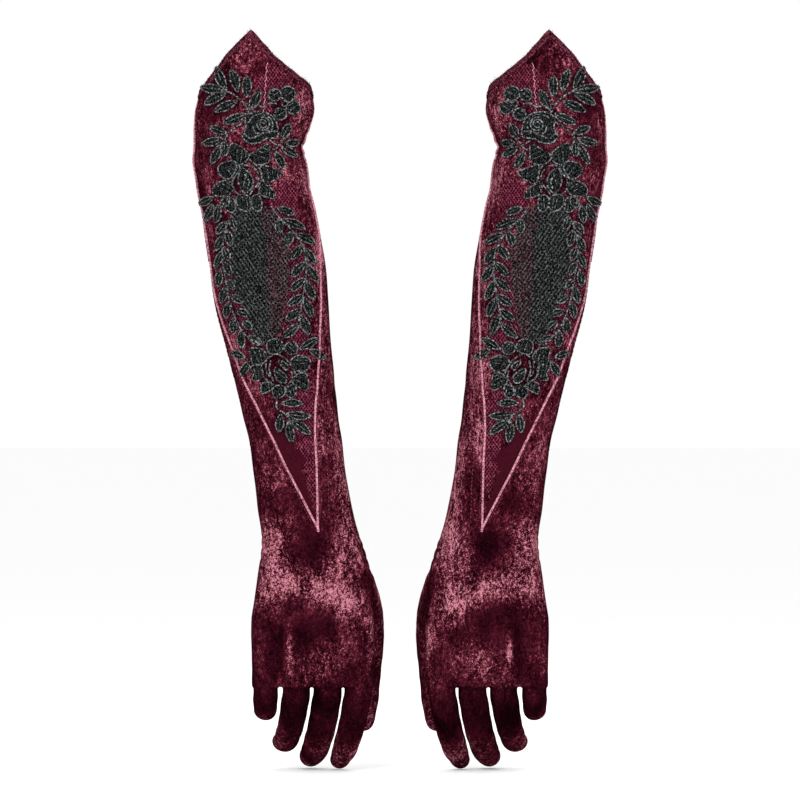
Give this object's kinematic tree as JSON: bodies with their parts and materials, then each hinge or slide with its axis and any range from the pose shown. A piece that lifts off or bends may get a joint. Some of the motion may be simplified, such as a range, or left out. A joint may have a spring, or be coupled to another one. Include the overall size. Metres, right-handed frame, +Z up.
{
  "type": "opera gloves",
  "caption": "Long velvet gloves that reach above the elbow, with a sheer V panel, piping and corded lace down each forearm.",
  "frame": {"origin": "centre of the pair's box", "axes": "+Z up the arms, fingers hang down, +X to the left glove, backs of the hands face -Y"},
  "size_m": [0.2738, 0.0888, 0.4926],
  "materials": {
    "crushed_velvet": "crushed pile with a bright rose sheen where it lies flat",
    "flocked_net": "fine dark red net with a flocked pattern",
    "hem_tape": "turned and stitched edge",
    "piping_cord": "satin cord",
    "lace_thread": "corded embroidery thread"
  },
  "bodies": {
    "right_cuff": {"right_cuff_velvet": "crushed_velvet", "right_cuff_inset": "flocked_net", "right_hem": "hem_tape", "right_lace_spray": "lace_thread", "right_elbow_fold": "crushed_velvet"},
    "right_forearm": {"right_forearm_velvet": "crushed_velvet", "right_forearm_inset": "flocked_net", "right_piping": "piping_cord", "right_lace_medallion": "lace_thread", "right_wrist_fold": "crushed_velvet"},
    "right_hand": {"right_hand_back": "crushed_velvet", "right_hand_palm": "crushed_velvet", "right_thumb_gusset": "crushed_velvet", "right_root_folds": "crushed_velvet"},
    "right_little": {"right_little_base": "crushed_velvet", "right_little_fold": "crushed_velvet"},
    "right_little_end": {"right_little_tip": "crushed_velvet"},
    "right_ring": {"right_ring_base": "crushed_velvet", "right_ring_fold": "crushed_velvet"},
    "right_ring_end": {"right_ring_tip": "crushed_velvet"},
    "right_middle": {"right_middle_base": "crushed_velvet", "right_middle_fold": "crushed_velvet"},
    "right_middle_end": {"right_middle_tip": "crushed_velvet"},
    "right_index": {"right_index_base": "crushed_velvet", "right_index_fold": "crushed_velvet"},
    "right_index_end": {"right_index_tip": "crushed_velvet"},
    "right_thumb": {"right_thumb_base": "crushed_velvet", "right_thumb_fold": "crushed_velvet"},
    "right_thumb_end": {"right_thumb_tip": "crushed_velvet"},
    "left_cuff": {"left_cuff_velvet": "crushed_velvet", "left_cuff_inset": "flocked_net", "left_hem": "hem_tape", "left_lace_spray": "lace_thread", "left_elbow_fold": "crushed_velvet"},
    "left_forearm": {"left_forearm_velvet": "crushed_velvet", "left_forearm_inset": "flocked_net", "left_piping": "piping_cord", "left_lace_medallion": "lace_thread", "left_wrist_fold": "crushed_velvet"},
    "left_hand": {"left_hand_back": "crushed_velvet", "left_hand_palm": "crushed_velvet", "left_thumb_gusset": "crushed_velvet", "left_root_folds": "crushed_velvet"},
    "left_little": {"left_little_base": "crushed_velvet", "left_little_fold": "crushed_velvet"},
    "left_little_end": {"left_little_tip": "crushed_velvet"},
    "left_ring": {"left_ring_base": "crushed_velvet", "left_ring_fold": "crushed_velvet"},
    "left_ring_end": {"left_ring_tip": "crushed_velvet"},
    "left_middle": {"left_middle_base": "crushed_velvet", "left_middle_fold": "crushed_velvet"},
    "left_middle_end": {"left_middle_tip": "crushed_velvet"},
    "left_index": {"left_index_base": "crushed_velvet", "left_index_fold": "crushed_velvet"},
    "left_index_end": {"left_index_tip": "crushed_velvet"},
    "left_thumb": {"left_thumb_base": "crushed_velvet", "left_thumb_fold": "crushed_velvet"},
    "left_thumb_end": {"left_thumb_tip": "crushed_velvet"}
  },
  "joints": [
    {"name": "left_glove_apart", "type": "slide", "parent": "right_cuff", "child": "left_cuff", "axis": [1, 0, 0], "range_m": [0, 0.2]},
    {"name": "right_elbow", "type": "hinge", "parent": "right_cuff", "child": "right_forearm", "pos_m": [-0.1002, -0.00842, 0.1699], "axis": [0, 1, 0], "range_deg": [-1, 15], "deforming": ["right_elbow_fold"]},
    {"name": "right_wrist", "type": "hinge", "parent": "right_forearm", "child": "right_hand", "pos_m": [-0.0602, -0.00842, -0.0991], "axis": [1, 0, 0], "range_deg": [-45, 45], "deforming": ["right_wrist_fold"]},
    {"name": "right_little_root", "type": "hinge", "parent": "right_hand", "child": "right_little", "pos_m": [-0.0895, -0.00842, -0.1941], "axis": [0.9973, -0.0209, -0.0697], "range_deg": [-42, 22], "deforming": ["right_root_folds"]},
    {"name": "right_little_middle", "type": "hinge", "parent": "right_little", "child": "right_little_end", "pos_m": [-0.0901, 0.00453, -0.2066], "axis": [0.9973, -0.0209, -0.0697], "range_deg": [-46, 30], "deforming": ["right_little_fold"]},
    {"name": "right_ring_root", "type": "hinge", "parent": "right_hand", "child": "right_ring", "pos_m": [-0.069, -0.00842, -0.1946], "axis": [0.9871, 0.1219, -0.1037], "range_deg": [-28, 30], "deforming": ["right_root_folds"]},
    {"name": "right_ring_middle", "type": "hinge", "parent": "right_ring", "child": "right_ring_end", "pos_m": [-0.07265, 0.003, -0.21597], "axis": [0.9871, 0.1219, -0.1037], "range_deg": [-34, 40], "deforming": ["right_ring_fold"]},
    {"name": "right_middle_root", "type": "hinge", "parent": "right_hand", "child": "right_middle", "pos_m": [-0.0482, -0.00842, -0.1946], "axis": [0.9829, 0.1392, -0.1207], "range_deg": [-20, 40], "deforming": ["right_root_folds"]},
    {"name": "right_middle_middle", "type": "hinge", "parent": "right_middle", "child": "right_middle_end", "pos_m": [-0.05233, 0.00022, -0.21824], "axis": [0.9829, 0.1392, -0.1207], "range_deg": [-32, 45], "deforming": ["right_middle_fold"]},
    {"name": "right_index_root", "type": "hinge", "parent": "right_hand", "child": "right_index", "pos_m": [-0.028, -0.00842, -0.1946], "axis": [0.9752, 0.1736, -0.1371], "range_deg": [-14, 12], "deforming": ["right_root_folds"]},
    {"name": "right_index_middle", "type": "hinge", "parent": "right_index", "child": "right_index_end", "pos_m": [-0.0318, -0.0033, -0.21514], "axis": [0.9752, 0.1736, -0.1371], "range_deg": [-26, 26], "deforming": ["right_index_fold"]},
    {"name": "right_thumb_root", "type": "hinge", "parent": "right_hand", "child": "right_thumb", "pos_m": [-0.0215, 0.01858, -0.1571], "axis": [0.9986, 0, -0.0523], "range_deg": [-4, 25], "deforming": ["right_root_folds"]},
    {"name": "right_thumb_middle", "type": "hinge", "parent": "right_thumb", "child": "right_thumb_end", "pos_m": [-0.02296, 0.02053, -0.185], "axis": [0.9986, 0, -0.0523], "range_deg": [-8, 45], "deforming": ["right_thumb_fold"]},
    {"name": "left_elbow", "type": "hinge", "parent": "left_cuff", "child": "left_forearm", "pos_m": [0.1002, -0.00842, 0.1699], "axis": [0, -1, 0], "range_deg": [-1, 15], "deforming": ["left_elbow_fold"]},
    {"name": "left_wrist", "type": "hinge", "parent": "left_forearm", "child": "left_hand", "pos_m": [0.0602, -0.00842, -0.0991], "axis": [1, 0, 0], "range_deg": [-45, 45], "deforming": ["left_wrist_fold"]},
    {"name": "left_little_root", "type": "hinge", "parent": "left_hand", "child": "left_little", "pos_m": [0.0895, -0.00842, -0.1941], "axis": [0.9973, 0.0209, 0.0697], "range_deg": [-42, 22], "deforming": ["left_root_folds"]},
    {"name": "left_little_middle", "type": "hinge", "parent": "left_little", "child": "left_little_end", "pos_m": [0.0901, 0.00453, -0.2066], "axis": [0.9973, 0.0209, 0.0697], "range_deg": [-46, 30], "deforming": ["left_little_fold"]},
    {"name": "left_ring_root", "type": "hinge", "parent": "left_hand", "child": "left_ring", "pos_m": [0.069, -0.00842, -0.1946], "axis": [0.9871, -0.1219, 0.1037], "range_deg": [-28, 30], "deforming": ["left_root_folds"]},
    {"name": "left_ring_middle", "type": "hinge", "parent": "left_ring", "child": "left_ring_end", "pos_m": [0.07265, 0.003, -0.21597], "axis": [0.9871, -0.1219, 0.1037], "range_deg": [-34, 40], "deforming": ["left_ring_fold"]},
    {"name": "left_middle_root", "type": "hinge", "parent": "left_hand", "child": "left_middle", "pos_m": [0.0482, -0.00842, -0.1946], "axis": [0.9829, -0.1392, 0.1207], "range_deg": [-20, 40], "deforming": ["left_root_folds"]},
    {"name": "left_middle_middle", "type": "hinge", "parent": "left_middle", "child": "left_middle_end", "pos_m": [0.05233, 0.00022, -0.21824], "axis": [0.9829, -0.1392, 0.1207], "range_deg": [-32, 45], "deforming": ["left_middle_fold"]},
    {"name": "left_index_root", "type": "hinge", "parent": "left_hand", "child": "left_index", "pos_m": [0.028, -0.00842, -0.1946], "axis": [0.9752, -0.1736, 0.1371], "range_deg": [-14, 12], "deforming": ["left_root_folds"]},
    {"name": "left_index_middle", "type": "hinge", "parent": "left_index", "child": "left_index_end", "pos_m": [0.0318, -0.0033, -0.21514], "axis": [0.9752, -0.1736, 0.1371], "range_deg": [-26, 26], "deforming": ["left_index_fold"]},
    {"name": "left_thumb_root", "type": "hinge", "parent": "left_hand", "child": "left_thumb", "pos_m": [0.0215, 0.01858, -0.1571], "axis": [0.9986, 0, 0.0523], "range_deg": [-4, 25], "deforming": ["left_root_folds"]},
    {"name": "left_thumb_middle", "type": "hinge", "parent": "left_thumb", "child": "left_thumb_end", "pos_m": [0.02296, 0.02053, -0.185], "axis": [0.9986, 0, 0.0523], "range_deg": [-8, 45], "deforming": ["left_thumb_fold"]}
  ]
}
